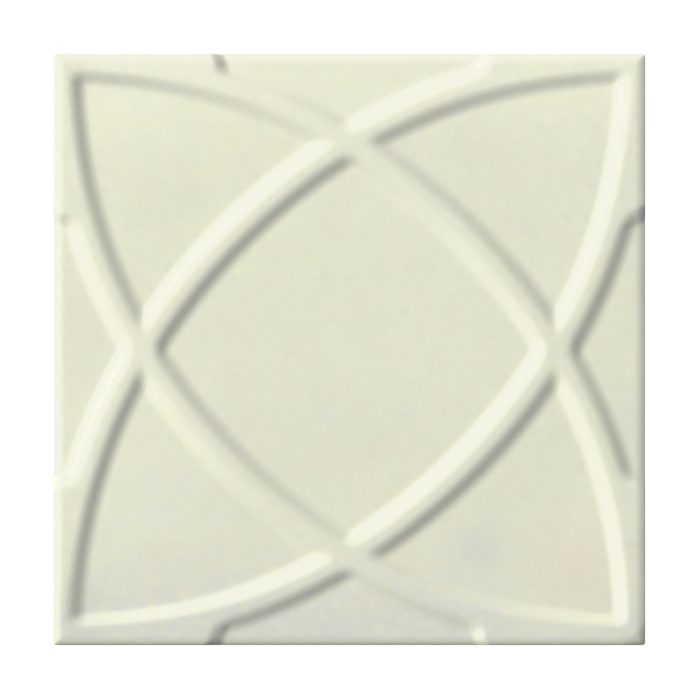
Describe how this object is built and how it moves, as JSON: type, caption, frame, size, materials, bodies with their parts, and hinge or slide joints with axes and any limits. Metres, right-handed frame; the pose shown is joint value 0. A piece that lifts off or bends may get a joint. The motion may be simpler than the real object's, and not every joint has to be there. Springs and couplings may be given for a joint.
{
  "type": "porcelain wall tile",
  "caption": "Square glazed porcelain wall tile with raised round ribs that cross as quarter circles over sunken fields, a rolled edge and a keyed back.",
  "frame": {"origin": "middle of the back, on the plane that the tile rests on", "axes": "+Z out of the relief face, +X and +Y along the sides, +Y up when the tile is on a wall as pictured"},
  "size_m": [0.148, 0.148, 0.009],
  "materials": {
    "glazed_porcelain": "satin-gloss pale green cream glaze on the face and edge roll, bare fired body on the sides and back"
  },
  "bodies": {
    "root": {"relief_tile": "glazed_porcelain"}
  },
  "joints": []
}
